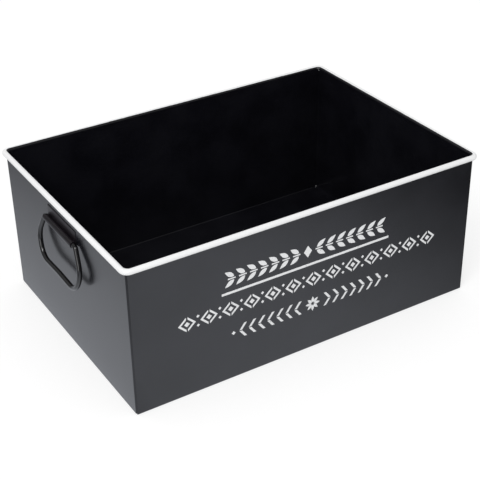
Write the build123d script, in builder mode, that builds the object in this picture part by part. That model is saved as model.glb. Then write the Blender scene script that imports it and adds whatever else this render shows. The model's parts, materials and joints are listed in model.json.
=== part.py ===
"""Open storage box of folded steel sheet with a wired rim and two hanging wire handles.

A U-shaped wrap makes the front, the floor and the back. Two end panels, flanged on three edges, are
lapped inside it and spot-welded. The top edge is rolled outwards over a stiffening wire. On each end a
strap, rolled round the handle's straight top run, is the hinge that the handle hangs and swings in.

Millimetres. X runs along the box, Y across it from front to back, Z up from the underside.
"""
import math
import os

from build123d import *

# Overall sizes, outside the walls
box_length = 360.0
box_width = 250.0
box_height = 148.5

# Sheet metal
sheet = 0.8
wrap_inside_bend = 0.8
panel_inside_bend = 0.3
flange_reach = 6.3
seam_gap = 0.2
mitre_gap = 0.6

# Rolled rim
rim_wire_diameter = 3.2
rim_wire_clearance = 0.1
rim_tip_gap = 0.15
rim_corner_radius = 4.0
roll_outside_sides = 20
roll_inside_sides = 12
rim_wire_sides = 12

# Handle: a bent wire loop, sizes on the wire's centre line, drops measured along it from the pivot
handle_wire_diameter = 4.7
handle_wire_sides = 18
pivot_clearance = 0.2
pivot_below_top = 25.7
shoulder_play = 3.5
shoulder_bend = 4.5
belly_bulge = 12.0
belly_drop = 22.4
belly_bend = 19.0
grip_inset = 9.7
grip_drop = 43.1
grip_bend = 17.0
grip_rise = 1.0
grip_middle_bend = 85.0
wire_end_gap = 0.4
bend_share = 0.49

# How the handle stands at rest: swung off the wall, and slid forward until its shoulder meets the strap
handle_tilt = 6.5
slide_clearance = 0.15

# Hinge strap
strap_sheet = 0.6
strap_length = 58.0
strap_height = 12.0
strap_tip_gap = 0.1

wrap_bend = wrap_inside_bend + sheet
panel_bend = panel_inside_bend + sheet

# The rim's roll is flush with the inside of the walls
rim_bore_radius = rim_wire_diameter / 2 + rim_wire_clearance
rim_radius = rim_bore_radius + sheet
rim_offset = rim_radius - sheet
rim_height = box_height - rim_radius
rim_turn = 360 - math.degrees(math.acos((rim_offset - rim_tip_gap) / rim_radius))

# The strap runs down the wall and rolls outwards round the wire, until its tip meets its own leg
bore_radius = handle_wire_diameter / 2 + pivot_clearance
barrel_radius = bore_radius + strap_sheet
pivot_offset = barrel_radius
pivot_height = box_height - pivot_below_top
strap_turn = 360 - math.degrees(math.acos((pivot_offset - strap_sheet - strap_tip_gap) / barrel_radius))

# The handle's shoulders stand clear of the strap's ends
shoulder_half_width = strap_length / 2 + shoulder_play
belly_half_width = shoulder_half_width + belly_bulge
grip_half_width = belly_half_width - grip_inset
shoulder_turn = math.atan2(belly_drop, belly_bulge)
handle_slide = shoulder_play - shoulder_bend * math.tan(shoulder_turn / 2) - slide_clearance

# The belly's and the grip's bends share the slanted run between them, and neither takes half of it
slanted_run = math.hypot(grip_inset, grip_drop - belly_drop)
slant = math.atan2(grip_inset, grip_drop - belly_drop)
belly_turn = math.pi / 2 - shoulder_turn + slant
grip_turn = math.pi / 2 - slant + math.atan2(grip_rise, grip_half_width)
belly_radius = min(belly_bend, bend_share * slanted_run / math.tan(belly_turn / 2))
grip_radius = min(grip_bend, bend_share * slanted_run / math.tan(grip_turn / 2))

os.makedirs("parts", exist_ok=True)

# What is cut off the walls' sharp corners, where the rim turns round them
with BuildPart() as rim_corner_cut:
    with BuildSketch(Plane.XY.offset(rim_height - rim_radius)):
        Rectangle(box_length + box_width, 2 * box_width)
        RectangleRounded(box_length, box_width, rim_corner_radius, mode=Mode.SUBTRACT)
    extrude(amount=2 * rim_radius)

# Front wall, floor and back wall, folded from one sheet
with BuildPart() as body_wrap:
    with BuildSketch(Plane.YZ):
        with BuildLine():
            FilletPolyline(
                (-box_width / 2, rim_height),
                (-box_width / 2, 0),
                (box_width / 2, 0),
                (box_width / 2, rim_height),
                radius=wrap_bend,
            )
            offset(amount=sheet, side=Side.LEFT)
        make_face()
    extrude(amount=box_length / 2 - panel_bend - seam_gap, both=True)
    add(rim_corner_cut.part, mode=Mode.SUBTRACT)
body_wrap.part.label = "body_wrap"
export_step(body_wrap.part, "parts/body_wrap.step")

# The rolled top edge and the wire inside it follow one closed path round the box
with BuildLine(Plane.XY.offset(rim_height)) as rim_path:
    half_length = box_length / 2 + rim_offset
    half_width = box_width / 2 + rim_offset
    FilletPolyline(
        (half_length, -half_width),
        (half_length, half_width),
        (-half_length, half_width),
        (-half_length, -half_width),
        radius=rim_corner_radius + rim_offset,
        close=True,
    )
rim_tangent = rim_path.wire() % 0
rim_start = Plane(
    origin=rim_path.wire() @ 0, x_dir=rim_tangent.cross(Vector(0, 0, 1)), z_dir=-rim_tangent
)

# Round sections have many flat sides, which keeps the mesh of the bends small
with BuildPart() as rim_curl:
    with BuildSketch(rim_start):
        with BuildLine():
            outside_arc = CenterArc((0, 0), rim_radius, 180, -rim_turn, mode=Mode.PRIVATE)
            inside_arc = CenterArc((0, 0), rim_bore_radius, 180, -rim_turn, mode=Mode.PRIVATE)
            outside = Polyline(*[outside_arc @ (i / roll_outside_sides) for i in range(roll_outside_sides + 1)])
            inside = Polyline(*[inside_arc @ (i / roll_inside_sides) for i in range(roll_inside_sides + 1)])
            Line(outside @ 0, inside @ 0)
            Line(outside @ 1, inside @ 1)
        make_face()
    sweep(path=rim_path.wire())
rim_curl.part.label = "rim_curl"
export_step(rim_curl.part, "parts/rim_curl.step")

with BuildPart() as rim_wire:
    with BuildSketch(rim_start):
        RegularPolygon(rim_wire_diameter / 2, rim_wire_sides)
    sweep(path=rim_path.wire())
rim_wire.part.label = "rim_wire"
export_step(rim_wire.part, "parts/rim_wire.step")

for side, side_name in ((-1, "left"), (1, "right")):
    end_face = side * box_length / 2

    # End panel, a shallow tray whose front, back and bottom flanges lie inside the wrap
    panel_width = box_width - 2 * sheet
    panel_height = rim_height - sheet
    with BuildPart() as end_panel:
        with BuildSketch(Plane(origin=(end_face, 0, sheet), x_dir=(0, 1, 0), z_dir=(1, 0, 0))) as outline:
            Rectangle(panel_width, panel_height, align=(Align.CENTER, Align.MIN))
            fillet(outline.vertices().group_by(Axis.Y)[0], wrap_bend)
        extrude(amount=-side * flange_reach)
        outwards = Axis.X if side > 0 else -Axis.X
        folded_edges = end_panel.faces().sort_by(outwards)[-1].edges().sort_by(Axis.Z)[:-1]
        fillet(folded_edges, panel_bend)
        top_face = end_panel.faces().sort_by(Axis.Z)[-1]
        inner_face = end_panel.faces().sort_by(outwards)[0]
        offset(amount=-sheet, openings=[top_face, inner_face])
        # Slits part the bottom flange from the side flanges
        slit_length = flange_reach - panel_bend
        slit_middle = end_face - side * (panel_bend + slit_length / 2)
        for end in (-1, 1):
            with Locations(Location((slit_middle, end * panel_width / 2, sheet), (end * 45, 0, 0))):
                Box(slit_length, mitre_gap, 4 * wrap_bend, mode=Mode.SUBTRACT)
        add(rim_corner_cut.part, mode=Mode.SUBTRACT)
    end_panel.part.label = f"{side_name}_end_panel"
    export_step(end_panel.part, f"parts/{side_name}_end_panel.step")

    # Hinge strap: a flat leg on the end panel that runs on into the barrel round the handle's top run
    with BuildPart() as handle_clip:
        with BuildSketch(Plane(origin=(end_face, 0, pivot_height), x_dir=(side, 0, 0), z_dir=(0, -side, 0))):
            with BuildLine():
                leg_back = Line((0, strap_height), (0, 0))
                leg_front = Line((strap_sheet, strap_height), (strap_sheet, 0))
                roll_outside = CenterArc((pivot_offset, 0), barrel_radius, 180, strap_turn)
                roll_inside = CenterArc((pivot_offset, 0), bore_radius, 180, strap_turn)
                Line(leg_back @ 0, leg_front @ 0)
                Line(roll_outside @ 1, roll_inside @ 1)
            make_face()
        extrude(amount=strap_length / 2, both=True)
    handle_clip.part.label = f"{side_name}_handle_clip"
    export_step(handle_clip.part, f"parts/{side_name}_handle_clip.step")

    # Handle: one wire, bent to a loop whose ends meet inside the strap
    tilt = math.radians(handle_tilt)
    loop_plane = Plane(
        origin=(end_face + side * pivot_offset, -handle_slide, pivot_height),
        x_dir=(0, 1, 0),
        z_dir=(math.cos(tilt), 0, side * math.sin(tilt)),
    )
    with BuildPart() as handle:
        with BuildLine(loop_plane) as wire_path:
            FilletPolyline(
                (wire_end_gap / 2, 0),
                (shoulder_half_width, 0),
                (belly_half_width, -belly_drop),
                (grip_half_width, -grip_drop),
                (0, grip_rise - grip_drop),
                (-grip_half_width, -grip_drop),
                (-belly_half_width, -belly_drop),
                (-shoulder_half_width, 0),
                (-wire_end_gap / 2, 0),
                radius=[
                    shoulder_bend,
                    belly_radius,
                    grip_radius,
                    grip_middle_bend,
                    grip_radius,
                    belly_radius,
                    shoulder_bend,
                ],
            )
        with BuildSketch(Plane(origin=wire_path.wire() @ 0, z_dir=wire_path.wire() % 0)):
            RegularPolygon(handle_wire_diameter / 2, handle_wire_sides)
        sweep(path=wire_path.wire())
    handle.part.label = f"{side_name}_handle"
    export_step(handle.part, f"parts/{side_name}_handle.step")
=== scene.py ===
"""Looks of the open steel storage box: black baked coat, white roll, wire handles, stencilled ornament.

Metres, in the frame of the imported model: X along the box, Y to the back, Z up.
"""
import json
import math
import random

import bmesh
import bpy
from mathutils import Matrix, Vector


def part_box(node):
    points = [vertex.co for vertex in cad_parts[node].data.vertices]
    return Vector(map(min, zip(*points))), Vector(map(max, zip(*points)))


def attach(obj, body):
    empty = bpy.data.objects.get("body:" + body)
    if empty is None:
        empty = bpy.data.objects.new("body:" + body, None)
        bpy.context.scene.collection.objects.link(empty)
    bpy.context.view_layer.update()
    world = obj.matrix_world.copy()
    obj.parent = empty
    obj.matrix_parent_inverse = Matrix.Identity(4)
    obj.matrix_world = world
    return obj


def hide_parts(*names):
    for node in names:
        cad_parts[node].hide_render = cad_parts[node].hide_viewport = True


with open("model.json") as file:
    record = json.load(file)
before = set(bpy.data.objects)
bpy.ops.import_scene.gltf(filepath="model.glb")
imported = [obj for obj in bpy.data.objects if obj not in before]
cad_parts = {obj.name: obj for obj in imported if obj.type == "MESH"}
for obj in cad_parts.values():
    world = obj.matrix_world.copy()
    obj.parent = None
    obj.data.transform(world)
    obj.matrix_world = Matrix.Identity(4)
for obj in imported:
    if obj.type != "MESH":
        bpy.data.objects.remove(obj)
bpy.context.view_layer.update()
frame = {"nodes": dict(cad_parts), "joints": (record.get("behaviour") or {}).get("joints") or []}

MM = 0.001

# Sizes of the sheet, its bends and the roll, as they are in the solids
SHEET = 0.8 * MM
PANEL_BEND = 1.1 * MM
SEAM_GAP = 0.2 * MM
ROLL_BORE_RADIUS = 1.7 * MM
ROLL_RADIUS = ROLL_BORE_RADIUS + SHEET
ROLL_OFFSET = ROLL_RADIUS - SHEET
ROLL_CORNER = 4.0 * MM
ROLL_PATH_CORNER = ROLL_CORNER + ROLL_OFFSET
ROLL_TURN = math.radians(308.3)

# The handle's loop, on the wire's centre line; drops are measured along it from the pivot
HANDLE_WIRE_RADIUS = 2.35 * MM
SHOULDER_HALF = 32.5 * MM
BELLY_HALF = 44.5 * MM
BELLY_DROP = 22.4 * MM
GRIP_HALF = 34.8 * MM
GRIP_DROP = 43.1 * MM
GRIP_RISE = 1.0 * MM
WIRE_END = 0.2 * MM
SHOULDER_BEND = 4.5 * MM
BELLY_BEND = 19.0 * MM
GRIP_BEND = 17.0 * MM
GRIP_MIDDLE_BEND = 85.0 * MM
HANDLE_TILT = math.radians(6.5)
HANDLE_SLIDE = 0.66 * MM

# Walls, read from the frame
WALL_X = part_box("right_end_panel")[1].x
WALL_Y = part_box("body_wrap")[1].y
RIM_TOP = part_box("rim_curl")[1].z
ROLL_HEIGHT = RIM_TOP - ROLL_RADIUS

# Fineness of the round meshes, and the angle from which an edge stays sharp
ROLL_SIDES = 44
ROLL_BEND_STEP = math.radians(6)
WIRE_SIDES = 28
WIRE_BEND_STEP = math.radians(5)
SHARP_ANGLE = math.radians(40)


def new_object(name, bm, material, smooth=True):
    """Links a mesh object made from bm, with one material."""
    mesh = bpy.data.meshes.new(name)
    bm.to_mesh(mesh)
    bm.free()
    if smooth:
        mesh.shade_smooth()
    mesh.materials.append(material)
    obj = bpy.data.objects.new(name, mesh)
    bpy.context.scene.collection.objects.link(obj)
    return obj


def skin(bm, rings):
    """Joins each ring of points to the next with faces."""
    for a, b in zip(rings, rings[1:]):
        for k in range(len(a)):
            j = (k + 1) % len(a)
            bm.faces.new((a[k], b[k], b[j], a[j]))


def rounded_path(points, radii, closed, step):
    """The points of a path of straight runs and tangent arcs; 2-D points, one radius for each corner."""
    path = []
    count = len(points)
    for i, corner in enumerate(points):
        if not closed and i in (0, count - 1):
            path.append(Vector(corner))
            continue
        here = Vector(corner)
        to_last = (Vector(points[i - 1]) - here).normalized()
        to_next = (Vector(points[(i + 1) % count]) - here).normalized()
        half = to_last.angle(to_next) / 2
        radius = radii[i]
        centre = here + (to_last + to_next).normalized() * radius / math.sin(half)
        reach = radius / math.tan(half)
        start = here + to_last * reach - centre
        end = here + to_next * reach - centre
        turn = start.angle_signed(end)
        steps = max(2, math.ceil(abs(turn) / step))
        for k in range(steps + 1):
            angle = -turn * k / steps
            c, s = math.cos(angle), math.sin(angle)
            path.append(centre + Vector((start.x * c - start.y * s, start.x * s + start.y * c)))
    return path


# Node helpers, for a material or the world


def node(owner, kind, inputs=None, **settings):
    """A node of that kind. inputs maps a socket to a value, or to the socket that feeds it."""
    made = owner.node_tree.nodes.new(kind)
    for key, value in settings.items():
        setattr(made, key, value)
    for key, value in (inputs or {}).items():
        if isinstance(value, bpy.types.NodeSocket):
            link(owner, value, made.inputs[key])
        else:
            made.inputs[key].default_value = value
    return made


def link(owner, source, target):
    owner.node_tree.links.new(source, target)


def math_node(owner, operation, a, b):
    return node(owner, "ShaderNodeMath", {0: a, 1: b}, operation=operation).outputs[0]


def added(owner, a, b):
    return math_node(owner, "ADD", a, b)


def scaled(owner, value, factor):
    return math_node(owner, "MULTIPLY", value, factor)


def vector_node(owner, operation, *vectors):
    """The outputs of a vector operation, by name."""
    return node(owner, "ShaderNodeVectorMath", dict(enumerate(vectors)), operation=operation).outputs


def noise(owner, place, scale, detail, roughness=0.5):
    sockets = {"Vector": place, "Scale": scale, "Detail": detail, "Roughness": roughness}
    return node(owner, "ShaderNodeTexNoise", sockets).outputs["Fac"]


def ramp(owner, fac, low, high, out_low=0.0, out_high=1.0):
    """Maps fac from low..high to out_low..out_high, smoothly and clamped."""
    sockets = {"Value": fac, "From Min": low, "From Max": high, "To Min": out_low, "To Max": out_high}
    return node(owner, "ShaderNodeMapRange", sockets, interpolation_type="SMOOTHSTEP").outputs["Result"]


def mix_value(owner, fac, a, b):
    return node(owner, "ShaderNodeMix", {0: fac, 2: a, 3: b}).outputs[0]


def mix_colour(owner, fac, a, b):
    colours = [value if isinstance(value, bpy.types.NodeSocket) else (*value, 1.0) for value in (a, b)]
    return node(owner, "ShaderNodeMix", {0: fac, 6: colours[0], 7: colours[1]}, data_type="RGBA").outputs[2]


def object_place(owner):
    return node(owner, "ShaderNodeTexCoord").outputs["Object"]


def new_material(name):
    """A material, its shader, and the place on the object that its patterns follow."""
    material = bpy.data.materials.new(name)
    material.use_nodes = True
    return material, material.node_tree.nodes["Principled BSDF"], object_place(material)


def dress(material, shader, colour, roughness):
    link(material, colour, shader.inputs["Base Color"])
    link(material, roughness, shader.inputs["Roughness"])


def emboss(material, shader, height, strength, depth):
    """Bumps the surface by height, to that strength and depth in metres."""
    bump = node(material, "ShaderNodeBump", {"Height": height, "Strength": strength, "Distance": depth})
    link(material, bump.outputs[0], shader.inputs["Normal"])


# Materials: each colour runs from the first to the second of a pair, and so does each roughness

COAT_COLOURS = ((0.0042, 0.0042, 0.0062), (0.0080, 0.0081, 0.0110))
COAT_ROUGHNESS = (0.17, 0.21)
DUST_COLOUR = (0.10, 0.10, 0.105)
STRAP_COLOURS = ((0.0090, 0.0072, 0.0098), (0.0150, 0.0122, 0.0158))
STRAP_ROUGHNESS = (0.30, 0.38)
STRAP_SPECULAR = 0.34
ENAMEL_COLOURS = ((0.89, 0.90, 0.91), (0.93, 0.93, 0.93))
ENAMEL_ROUGHNESS = (0.26, 0.36)
HANDLE_COLOURS = ((0.0030, 0.0030, 0.0038), (0.0055, 0.0055, 0.0062))
HANDLE_ROUGHNESS = (0.08, 0.13)
HANDLE_SPECULAR = 0.8
STEEL_COLOURS = ((0.42, 0.42, 0.43), (0.58, 0.58, 0.58))
STEEL_ROUGHNESS = (0.25, 0.45)
STENCIL_COLOURS = ((0.45, 0.45, 0.46), (0.86, 0.87, 0.88))
STENCIL_ROUGHNESS = (0.55, 0.42)

# The part of a noise's range that most of it lies in
SPREAD = (0.3, 0.7)
WIDE_SPREAD = (0.25, 0.75)


def black_coat_nodes(material, place):
    """Colour, roughness and height of the baked black coat: clouds, orange peel, fine grain and specks."""
    speck_share = (0.80, 0.86)
    speck_strength = 0.35
    grain_roughness = 0.03
    wave_height = 12.0
    grain_height = 0.35
    cloud = noise(material, place, scale=26.0, detail=5.0, roughness=0.6)
    peel = noise(material, place, scale=900.0, detail=2.0, roughness=0.6)
    grain = noise(material, place, scale=4200.0, detail=1.0)
    dust = noise(material, place, scale=2600.0, detail=0.0)
    wave = noise(material, place, scale=9.0, detail=1.0)
    colour = mix_colour(material, ramp(material, cloud, *SPREAD), *COAT_COLOURS)
    speck = scaled(material, ramp(material, dust, *speck_share), speck_strength)
    colour = mix_colour(material, speck, colour, DUST_COLOUR)
    roughness = ramp(material, cloud, *WIDE_SPREAD, *COAT_ROUGHNESS)
    roughness = added(material, roughness, scaled(material, grain, grain_roughness))
    height = added(material, scaled(material, wave, wave_height), peel)
    height = added(material, height, scaled(material, grain, grain_height))
    return colour, roughness, height


def black_coat():
    material, shader, place = new_material("black_baked_coat")
    colour, roughness, height = black_coat_nodes(material, place)
    dress(material, shader, colour, roughness)
    emboss(material, shader, height, strength=0.45, depth=0.04 * MM)
    return material


def strap_coat():
    """The same coat, thicker and duller, as it lies on the rolled hinge straps."""
    material, shader, place = new_material("black_strap_coat")
    cloud = noise(material, place, scale=90.0, detail=3.0)
    grain = noise(material, place, scale=2200.0, detail=2.0)
    shader.inputs["Specular IOR Level"].default_value = STRAP_SPECULAR
    roughness = ramp(material, cloud, *SPREAD, *STRAP_ROUGHNESS)
    dress(material, shader, mix_colour(material, cloud, *STRAP_COLOURS), roughness)
    emboss(material, shader, grain, strength=0.35, depth=0.03 * MM)
    return material


def roll_paint():
    """White gloss paint on the roll, with the black coat left on its inner flank, up to a wandering line."""
    line_at = (0.80, 0.86)
    line_wander = 0.16
    line_ragged = 0.16
    sag_height = 4.0
    material, shader, place = new_material("white_roll_paint")
    black, black_roughness, _ = black_coat_nodes(material, place)
    angle = node(material, "ShaderNodeAttribute", attribute_name="roll_angle").outputs["Fac"]
    wander = noise(material, place, scale=60.0, detail=2.0)
    ragged = noise(material, place, scale=700.0, detail=2.0)
    edge = added(material, angle, scaled(material, wander, line_wander))
    edge = added(material, edge, scaled(material, ragged, line_ragged))
    painted = ramp(material, edge, *line_at)
    tone = noise(material, place, scale=40.0, detail=3.0)
    colour = mix_colour(material, painted, black, mix_colour(material, tone, *ENAMEL_COLOURS))
    white_roughness = ramp(material, tone, *SPREAD, *ENAMEL_ROUGHNESS)
    dress(material, shader, colour, mix_value(material, painted, black_roughness, white_roughness))
    sag = noise(material, place, scale=250.0, detail=2.0)
    height = added(material, scaled(material, sag, sag_height), painted)
    emboss(material, shader, height, strength=0.4, depth=0.04 * MM)
    return material


def handle_coat():
    """A glossier black coat, as it lies on the bent wire."""
    material, shader, place = new_material("black_handle_coat")
    cloud = noise(material, place, scale=60.0, detail=3.0)
    peel = noise(material, place, scale=1500.0, detail=2.0)
    shader.inputs["Specular IOR Level"].default_value = HANDLE_SPECULAR
    roughness = ramp(material, cloud, *SPREAD, *HANDLE_ROUGHNESS)
    dress(material, shader, mix_colour(material, cloud, *HANDLE_COLOURS), roughness)
    emboss(material, shader, peel, strength=0.25, depth=0.02 * MM)
    return material


def bare_wire():
    material, shader, place = new_material("drawn_steel_wire")
    streak = noise(material, place, scale=500.0, detail=4.0)
    shader.inputs["Metallic"].default_value = 1.0
    roughness = ramp(material, streak, *SPREAD, *STEEL_ROUGHNESS)
    dress(material, shader, mix_colour(material, streak, *STEEL_COLOURS), roughness)
    return material


def stencil_paint():
    """White paint, thinner in places, as it is dabbed through a stencil."""
    thin_at = (0.26, 0.40)
    material, shader, place = new_material("white_stencil_paint")
    thin = noise(material, place, scale=420.0, detail=4.0, roughness=0.6)
    colour = mix_colour(material, ramp(material, thin, *thin_at), *STENCIL_COLOURS)
    dress(material, shader, colour, ramp(material, thin, *SPREAD, *STENCIL_ROUGHNESS))
    grain = noise(material, place, scale=3000.0, detail=2.0)
    emboss(material, shader, grain, strength=0.3, depth=0.02 * MM)
    return material


# The roll

# How much fuller it is inside its corners, and how far along the roll that fades out
CORNER_FILL = 1.3 * MM
CORNER_FADE = 6.0 * MM
CORNER_NEAREST = ROLL_PATH_CORNER * (math.sqrt(2.0) - 1.0)

# How much further up the roll the black coat shows, in radians round it, and over what length that builds up
BACK_BLACK = 0.55
BACK_BLACK_FROM = 60.0 * MM
BACK_BLACK_FADE = 90.0 * MM
RIGHT_BLACK = 0.3
RIGHT_BLACK_AT_FRONT = 0.25
SIDE_FADE = 10.0 * MM


def share(part, whole):
    """part over whole, held between 0 and 1."""
    return min(1.0, max(0.0, part / whole))


def corner_fill(here):
    """How far the dressed and painted corner reaches inwards at that point of the roll's path."""
    corner = Vector((WALL_X + ROLL_OFFSET, WALL_Y + ROLL_OFFSET))
    away = (Vector((abs(here.x), abs(here.y))) - corner).length - CORNER_NEAREST
    t = share(away, CORNER_FADE)
    return CORNER_FILL * (1 - t * t * (3 - 2 * t))


def black_reach(here):
    """How much further up the roll the black coat shows there: hand-painted, so it differs round the box."""
    at_back = share(here.y - WALL_Y + SIDE_FADE, SIDE_FADE)
    to_left = share(BACK_BLACK_FROM - here.x, BACK_BLACK_FADE)
    at_right = share(here.x - WALL_X + SIDE_FADE, SIDE_FADE)
    to_front = share(WALL_Y - here.y, 2 * WALL_Y)
    return max(at_back * BACK_BLACK * to_left, at_right * (RIGHT_BLACK + RIGHT_BLACK_AT_FRONT * to_front))


def roll(material):
    """The rolled top edge: an open tube of sheet once round the box, with half as many sides in its bore."""
    half_x = WALL_X + ROLL_OFFSET
    half_y = WALL_Y + ROLL_OFFSET
    corners = [(half_x, -half_y), (half_x, half_y), (-half_x, half_y), (-half_x, -half_y)]
    path = rounded_path(corners, [ROLL_PATH_CORNER] * 4, True, ROLL_BEND_STEP)
    section = []
    for k in range(ROLL_SIDES + 1):
        section.append((ROLL_RADIUS, math.pi - ROLL_TURN * k / ROLL_SIDES))
    for k in range(ROLL_SIDES, -1, -2):
        section.append((ROLL_BORE_RADIUS, math.pi - ROLL_TURN * k / ROLL_SIDES))
    bm = bmesh.new()
    layer = bm.verts.layers.float.new("roll_angle")
    rings = []
    for i, here in enumerate(path):
        along = (path[(i + 1) % len(path)] - path[i - 1]).normalized()
        out = Vector((along.y, -along.x))
        fill = corner_fill(here)
        black = black_reach(here)
        ring = []
        for reach, angle in section:
            outside = reach == ROLL_RADIUS
            inwards = max(0.0, -math.cos(angle)) * fill if outside else 0.0
            flat = here + out * (reach * math.cos(angle) - inwards)
            vertex = bm.verts.new((flat.x, flat.y, ROLL_HEIGHT + reach * math.sin(angle)))
            vertex[layer] = math.pi - angle - black if outside else 0.0
            ring.append(vertex)
        rings.append(ring)
    skin(bm, rings + rings[:1])
    bmesh.ops.recalc_face_normals(bm, faces=bm.faces)
    obj = new_object("painted_roll", bm, material)
    obj.data.set_sharp_from_angle(angle=SHARP_ANGLE)
    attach(obj, "box")
    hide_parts("rim_curl")


# The coat in the seams

# It starts above the wrap's bend, and its lip lies this far under the wrap's face
SEAM_FOOT = 1.8 * MM
SEAM_LIP = 0.12 * MM


def coat_in_seams(material):
    """The baked coat bridges the step at each upright edge, from the panel's bend to the wrap's cut edge."""
    half_turn = PANEL_BEND * (1 - math.sqrt(0.5))
    seam = PANEL_BEND + SEAM_GAP
    inner = SHEET + PANEL_BEND / 2
    outline = [(half_turn, SHEET + half_turn), (seam, SEAM_LIP), (seam, inner), (PANEL_BEND, inner)]
    bm = bmesh.new()
    for end in (-1, 1):
        for face in (-1, 1):
            rings = []
            for z in (SEAM_FOOT, ROLL_HEIGHT - ROLL_BORE_RADIUS):
                ring = [(end * (WALL_X - u), face * (WALL_Y - v), z) for u, v in outline]
                rings.append([bm.verts.new(place) for place in ring])
            skin(bm, rings)
            bm.faces.new(rings[0])
            bm.faces.new(rings[1])
    bmesh.ops.recalc_face_normals(bm, faces=bm.faces)
    obj = new_object("coat_in_seams", bm, material, smooth=False)
    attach(obj, "box")


# The handles


def handle_tube(side, joint, name, body, material):
    """One bent wire; its pivot is the joint's, and the loop hangs tilted off the wall."""
    outline = [(WIRE_END, 0.0), (SHOULDER_HALF, 0.0), (BELLY_HALF, -BELLY_DROP), (GRIP_HALF, -GRIP_DROP)]
    points = outline + [(0.0, GRIP_RISE - GRIP_DROP)] + [(-u, v) for u, v in reversed(outline)]
    bends = [0.0, SHOULDER_BEND, BELLY_BEND, GRIP_BEND]
    path = rounded_path(points, bends + [GRIP_MIDDLE_BEND] + bends[::-1], False, WIRE_BEND_STEP)
    pivot = Vector(joint["pos_m"])
    pivot.y -= HANDLE_SLIDE
    across = Vector((math.cos(HANDLE_TILT), 0.0, side * math.sin(HANDLE_TILT)))
    along_wall = Vector((0.0, 1.0, 0.0))
    upwards = across.cross(along_wall)
    bm = bmesh.new()
    rings = []
    for i, here in enumerate(path):
        tangent = (path[min(i + 1, len(path) - 1)] - path[max(i - 1, 0)]).normalized()
        normal = Vector((-tangent.y, tangent.x))
        ring = []
        for k in range(WIRE_SIDES):
            angle = 2 * math.pi * k / WIRE_SIDES
            in_plane = here + normal * HANDLE_WIRE_RADIUS * math.cos(angle)
            place = pivot + along_wall * in_plane.x + upwards * in_plane.y
            ring.append(bm.verts.new(place + across * HANDLE_WIRE_RADIUS * math.sin(angle)))
        rings.append(ring)
    skin(bm, rings)
    bm.faces.new(rings[0])
    bm.faces.new(rings[-1])
    bmesh.ops.recalc_face_normals(bm, faces=bm.faces)
    obj = new_object(name, bm, material)
    obj.data.set_sharp_from_angle(angle=SHARP_ANGLE)
    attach(obj, body)
    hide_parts(body)


# The stencilled ornament: outlines and sizes in millimetres on the front wall, paint in metres

# Middle, height above the underside and half length of each row; ends and width of the rule
LAUREL_ROW = (-5.0, 105.5, 88.0)
LOZENGE_ROW = (1.5, 75.0, 130.0)
CHEVRON_ROW = (1.0, 48.5, 82.0)
RULE = ((-93.0, 91.5), (84.0, 91.5), 2.4)

EDGE_SPACING = 1.6
EDGE_WAVER = 0.07
PAINT_PROUD = 0.06 * MM
PAINT_SUNK = 0.02 * MM

BRUSH_SEED = 7
brush = random.Random(BRUSH_SEED)


def irregular(outline):
    """The outline with a point every millimetre or two, each a little off, as a stencil's brushed edge is."""
    points = []
    for i, here in enumerate(outline):
        there = outline[(i + 1) % len(outline)]
        steps = max(1, round(math.dist(here, there) / EDGE_SPACING))
        for k in range(steps):
            x = here[0] + (there[0] - here[0]) * k / steps + brush.uniform(-EDGE_WAVER, EDGE_WAVER)
            z = here[1] + (there[1] - here[1]) * k / steps + brush.uniform(-EDGE_WAVER, EDGE_WAVER)
            points.append((x, z))
    return points


def bar(a, b, width):
    """A straight stroke from a to b."""
    dx, dy = b[0] - a[0], b[1] - a[1]
    length = math.hypot(dx, dy)
    px, py = -dy / length * width / 2, dx / length * width / 2
    return [(a[0] + px, a[1] + py), (a[0] - px, a[1] - py), (b[0] - px, b[1] - py), (b[0] + px, b[1] + py)]


def lozenge(x, z, half_wide, half_high):
    return [(x - half_wide, z), (x, z - half_high), (x + half_wide, z), (x, z + half_high)]


def leaf(x, z, length, width, angle):
    """A pointed leaf from its root at x, z, widest a little before its middle."""
    steps = 7
    fullness = 0.85
    points = []
    for edge in (1, -1):
        for k in range(steps):
            t = k / steps if edge == 1 else 1 - k / steps
            points.append((t * length, edge * width / 2 * math.sin(math.pi * t ** fullness)))
    c, s = math.cos(angle), math.sin(angle)
    return [(x + u * c - v * s, z + u * s + v * c) for u, v in points]


def chevron(x, z, half_high, depth, width, way):
    """A stroke that points the given way, in two bars with a stencil's bridge at the tip."""
    half_bridge = 0.45
    shapes = []
    for up in (1, -1):
        shapes.append(
            [
                (x + way * depth, z + up * half_bridge),
                (x + way * (depth + width), z + up * half_bridge),
                (x + way * width, z + up * half_high),
                (x, z + up * half_high),
            ]
        )
    return shapes


def lozenge_outline(x, z, half_wide, half_high, stroke):
    """A lozenge drawn as two chevron halves, with a stencil's bridges above and below."""
    half_bridge = 0.75
    tip = half_high - half_bridge * half_high / half_wide
    slant = stroke * half_high / half_wide
    shapes = []
    for way in (1, -1):
        shapes.append(
            [
                (x + way * half_bridge, z + tip),
                (x + way * half_wide, z),
                (x + way * half_bridge, z - tip),
                (x + way * half_bridge, z - tip + slant),
                (x + way * (half_wide - stroke), z),
                (x + way * half_bridge, z + tip - slant),
            ]
        )
    return shapes


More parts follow.
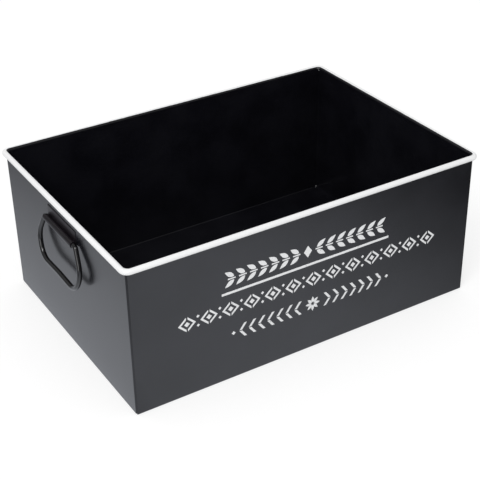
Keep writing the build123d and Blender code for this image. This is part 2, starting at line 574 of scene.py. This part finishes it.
def laurel_row(middle, height, half_length):
    """Leaves in pairs on a broken stem, running out from a lozenge in the middle."""
    pitch = 11.0
    first_root = 8.0
    end_margin = 6.0
    stem_length, stem_width = 7.6, 1.3
    leaf_length, leaf_width = 11.0, 4.4
    leaf_along, leaf_off = 1.4, 1.6
    leaf_slant = math.radians(34)
    middle_wide, middle_high = 4.2, 6.0
    shapes = [lozenge(middle, height, middle_wide, middle_high)]
    for way in (1, -1):
        for k in range(int((half_length - end_margin) / pitch)):
            root = middle + way * (first_root + k * pitch)
            shapes.append(bar((root, height), (root + way * stem_length, height), stem_width))
            for up in (1, -1):
                angle = up * leaf_slant
                if way < 0:
                    angle = math.pi - angle
                start = (root + way * leaf_along, height + up * leaf_off)
                shapes.append(leaf(*start, leaf_length, leaf_width, angle))
    return shapes


def lozenge_row(middle, height, half_length):
    """Lozenge outlines with a solid lozenge in each, and dots between."""
    pitch = 21.5
    half_wide, half_high, stroke = 8.6, 8.0, 2.6
    core_wide, core_high = 2.7, 2.6
    dot = 1.6
    dot_off = 4.6
    count = int(half_length / pitch)
    shapes = []
    for k in range(-count, count + 1):
        x = middle + k * pitch
        shapes += lozenge_outline(x, height, half_wide, half_high, stroke)
        shapes.append(lozenge(x, height, core_wide, core_high))
        if k < count:
            shapes.append(lozenge(x + pitch / 2, height + dot_off, dot, dot))
            shapes.append(lozenge(x + pitch / 2, height - dot_off, dot, dot))
    return shapes


def chevron_row(middle, height, half_length):
    """Chevrons that point out from a small flower of eight leaves."""
    pitch = 9.6
    first = 12.0
    petals = 8
    petal_root, petal_length, petal_width = 1.3, 6.4, 2.9
    half_high, depth, width = 7.0, 5.0, 2.7
    dot = 2.0
    dot_gap = 4.0
    shapes = []
    for k in range(petals):
        angle = 2 * math.pi * k / petals
        root = (middle + petal_root * math.cos(angle), height + petal_root * math.sin(angle))
        shapes.append(leaf(*root, petal_length, petal_width, angle))
    count = int((half_length - first) / pitch)
    for way in (1, -1):
        for k in range(count):
            shapes += chevron(middle + way * (first + k * pitch), height, half_high, depth, width, way)
        tip = middle + way * (first + count * pitch + dot_gap)
        shapes.append(lozenge(tip, height, dot, dot))
    return shapes


def stencil(name, shapes, material):
    """Flat patches of paint on the front wall, one for each outline."""
    bm = bmesh.new()
    for outline in shapes:
        points = irregular(outline)
        area = sum(a[0] * b[1] - b[0] * a[1] for a, b in zip(points, points[1:] + points[:1]))
        if area < 0:
            points.reverse()
        front = [bm.verts.new((x * MM, -WALL_Y - PAINT_PROUD, z * MM)) for x, z in points]
        back = [bm.verts.new((x * MM, -WALL_Y + PAINT_SUNK, z * MM)) for x, z in points]
        bm.faces.new(front)
        bm.faces.new(reversed(back))
        for k in range(len(points)):
            j = (k + 1) % len(points)
            bm.faces.new((front[j], front[k], back[k], back[j]))
    obj = new_object(name, bm, material, smooth=False)
    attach(obj, "box")


# The camera, solved from the photograph's edges

CAMERA_PLACE = Vector((-0.50118, -0.83445, 0.64447))
CAMERA_YAW = math.radians(-31.057)
CAMERA_PITCH = math.radians(31.331)
CAMERA_ROLL = math.radians(-1.1204)
CAMERA_LENS = 87.58
SENSOR_WIDTH = 36.0


def add_camera():
    yaw, pitch, turn = CAMERA_YAW, CAMERA_PITCH, CAMERA_ROLL
    forward = Vector((-math.sin(yaw) * math.cos(pitch), math.cos(yaw) * math.cos(pitch), -math.sin(pitch)))
    right = Vector((math.cos(yaw), math.sin(yaw), 0.0))
    up = right.cross(forward)
    x_axis = right * math.cos(turn) + up * math.sin(turn)
    y_axis = up * math.cos(turn) - right * math.sin(turn)
    data = bpy.data.cameras.new("camera")
    data.lens = CAMERA_LENS
    data.sensor_width = SENSOR_WIDTH
    camera = bpy.data.objects.new("camera", data)
    turned = Matrix((x_axis, y_axis, -forward)).transposed()
    camera.matrix_world = Matrix.Translation(CAMERA_PLACE) @ turned.to_4x4()
    bpy.context.scene.collection.objects.link(camera)
    bpy.context.scene.camera = camera


# The floor, the world and the lamp

# The floor's colour as it lights the box, as the camera sees it and in reflections
FLOOR_SIZE = 4.0
FLOOR_COLOUR = (0.8, 0.8, 0.8)
FLOOR_COLOUR_SEEN = (0.42, 0.42, 0.42)
FLOOR_COLOUR_REFLECTED = (0.05, 0.05, 0.05)
WHITE = (1.0, 1.0, 1.0)

# What the floor adds of its own for the camera, so that it looks white
FLOOR_GLOW = 0.66

# The oval pool of light painted on the floor for reflections only, from where it starts to fade to where it
# ends
POOL_MIDDLE = (-0.119, -0.270, 0.0)
POOL_SHAPE = (1.22, 0.56, 0.0)
POOL_REACH = (0.112, 0.636)
POOL_LEVEL = (1.14, 0.0)
POOL_TINT = (0.93, 0.965, 1.04)

# Reflections see painted shade on the floor to the left, and a painted level of light behind the box and far
# from it
LEFT_SIDE = (-0.20, -0.15)
LEFT_LEVEL = 0.76
BEHIND_WAY = (1.0, 0.8, 0.0)
BEHIND_REACH = (0.08, 0.30)
FAR_REACH = (0.44, 0.62)
FAR_LEVEL = 0.5

# The world's light: its level all round, and what reflections see of it
AMBIENT_LEVEL = 0.77
HORIZON_LEVEL = 0.1
CEILING_LEVEL = 0.35
CEILING_HEIGHT = (0.1, 0.5)
WINDOW_WAY = (-0.77, -0.60, 0.20)
WINDOW_REACH = (0.90, 0.98)
WINDOW_LEVEL = 1.7

LAMP_PLACE = Vector((-0.9, -0.7, 1.3))
LAMP_TARGET = Vector((0.0, 0.0, 0.05))
LAMP_SIZE = 0.7
LAMP_POWER = 8.0


def add_floor():
    """A white floor. Reflections see a pool of light painted on it at the front left, with painted shade to
    the left.
    """
    bm = bmesh.new()
    bmesh.ops.create_grid(bm, x_segments=1, y_segments=1, size=FLOOR_SIZE)
    material = bpy.data.materials.new("floor_white")
    material.use_nodes = True
    nodes = material.node_tree.nodes
    nodes.remove(nodes["Principled BSDF"])
    rays = node(material, "ShaderNodeLightPath").outputs
    camera_ray = math_node(material, "MAXIMUM", rays["Is Camera Ray"], rays["Is Transmission Ray"])
    glossy_ray = rays["Is Glossy Ray"]
    place = object_place(material)
    # A pool of light with painted shade to its left, painted into the floor's glow for reflections only
    offset = vector_node(material, "SUBTRACT", place, POOL_MIDDLE)["Vector"]
    squeezed = vector_node(material, "MULTIPLY", offset, POOL_SHAPE)["Vector"]
    reach = vector_node(material, "LENGTH", squeezed)["Value"]
    pool = ramp(material, reach, *POOL_REACH, *POOL_LEVEL)
    across = node(material, "ShaderNodeSeparateXYZ", {0: place}).outputs["X"]
    pool = scaled(material, pool, ramp(material, across, *LEFT_SIDE, LEFT_LEVEL, 1.0))
    behind = vector_node(material, "DOT_PRODUCT", place, BEHIND_WAY)["Value"]
    pool = math_node(material, "MAXIMUM", pool, ramp(material, behind, *BEHIND_REACH, 0.0, FAR_LEVEL))
    far = vector_node(material, "LENGTH", place)["Value"]
    pool = math_node(material, "MAXIMUM", pool, ramp(material, far, *FAR_REACH, 0.0, FAR_LEVEL))
    glow = added(material, scaled(material, glossy_ray, pool), scaled(material, camera_ray, FLOOR_GLOW))
    light = mix_colour(material, glossy_ray, WHITE, POOL_TINT)
    tone = mix_colour(material, camera_ray, FLOOR_COLOUR, FLOOR_COLOUR_SEEN)
    tone = mix_colour(material, glossy_ray, tone, FLOOR_COLOUR_REFLECTED)
    diffuse = node(material, "ShaderNodeBsdfDiffuse", {"Color": tone})
    emission = node(material, "ShaderNodeEmission", {"Color": light, "Strength": glow})
    both = node(material, "ShaderNodeAddShader", {0: diffuse.outputs[0], 1: emission.outputs[0]})
    link(material, both.outputs[0], nodes["Material Output"].inputs["Surface"])
    floor = new_object("floor", bm, material, smooth=False)


def add_world():
    """Soft white light all round. Reflections see a dim horizon, a paler ceiling and a low window."""
    world = bpy.data.worlds.new("studio")
    world.use_nodes = True
    bpy.context.scene.world = world
    rays = node(world, "ShaderNodeLightPath").outputs
    way = node(world, "ShaderNodeTexCoord").outputs["Generated"]
    height = node(world, "ShaderNodeSeparateXYZ", {0: way}).outputs["Z"]
    towards = vector_node(world, "DOT_PRODUCT", way, WINDOW_WAY)["Value"]
    ceiling = ramp(world, height, *CEILING_HEIGHT, HORIZON_LEVEL, CEILING_LEVEL)
    window = ramp(world, towards, *WINDOW_REACH, 0.0, WINDOW_LEVEL)
    level = mix_value(world, rays["Is Glossy Ray"], AMBIENT_LEVEL, added(world, ceiling, window))
    level = mix_value(world, rays["Is Camera Ray"], level, 1.0)
    background = world.node_tree.nodes["Background"]
    background.inputs["Color"].default_value = (*WHITE, 1.0)
    link(world, level, background.inputs["Strength"])


def add_lamp():
    data = bpy.data.lights.new("key", "AREA")
    data.shape = "DISK"
    data.size = LAMP_SIZE
    data.energy = LAMP_POWER
    lamp = bpy.data.objects.new("key", data)
    lamp.location = LAMP_PLACE
    lamp.rotation_euler = (LAMP_TARGET - LAMP_PLACE).to_track_quat("-Z", "Y").to_euler()
    bpy.context.scene.collection.objects.link(lamp)


# The box

coat = black_coat()
for name in ("body_wrap", "left_end_panel", "right_end_panel"):
    frame["nodes"][name].data.materials[0] = coat
dull_coat = strap_coat()
for name in ("left_handle_clip", "right_handle_clip"):
    frame["nodes"][name].data.materials[0] = dull_coat
frame["nodes"]["rim_wire"].data.materials[0] = bare_wire()
roll(roll_paint())
coat_in_seams(coat)

wire_coat = handle_coat()
joints = {joint["child"]: joint for joint in frame["joints"]}
handle_tube(-1, joints["left_handle"], "left_wire_handle", "left_handle", wire_coat)
handle_tube(1, joints["right_handle"], "right_wire_handle", "right_handle", wire_coat)

paint = stencil_paint()
stencil("ornament_laurel", laurel_row(*LAUREL_ROW), paint)
stencil("ornament_rule", [bar(*RULE)], paint)
stencil("ornament_lozenges", lozenge_row(*LOZENGE_ROW), paint)
stencil("ornament_chevrons", chevron_row(*CHEVRON_ROW), paint)

# The studio

add_camera()
add_floor()
add_world()
add_lamp()

bpy.context.scene.view_settings.view_transform = "Standard"
